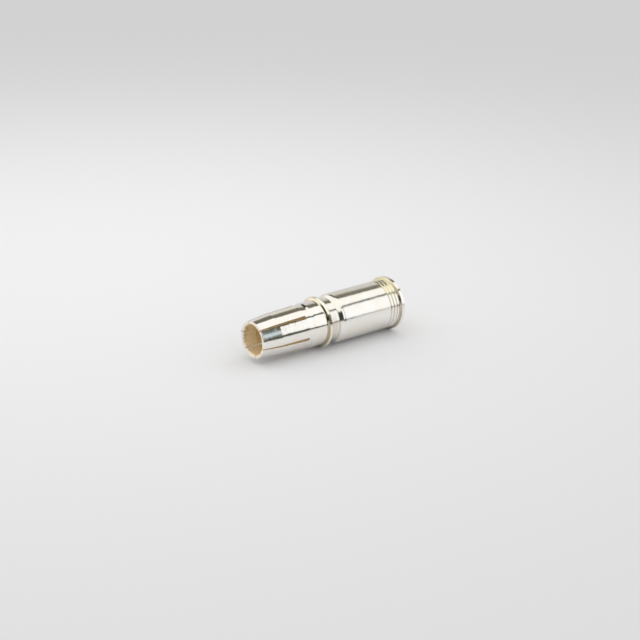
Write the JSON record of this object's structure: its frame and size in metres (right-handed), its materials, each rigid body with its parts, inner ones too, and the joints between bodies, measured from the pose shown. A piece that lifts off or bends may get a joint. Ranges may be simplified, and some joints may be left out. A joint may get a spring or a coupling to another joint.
{
  "type": "turned crimp contact",
  "caption": "Turned socket contact with slotted spring fingers, a retaining collar, a necked shoulder and a crimp barrel with identification grooves.",
  "frame": {"origin": "centre of the crimp end's face, on which the contact stands", "axes": "+Z along the turning axis, from the crimp end towards the mouth of the socket"},
  "size_m": [0.0148, 0.0148, 0.0466],
  "materials": {
    "silver_plated_brass": "bright silver plating, polished"
  },
  "bodies": {
    "root": {"contact_body": "silver_plated_brass"}
  },
  "joints": []
}
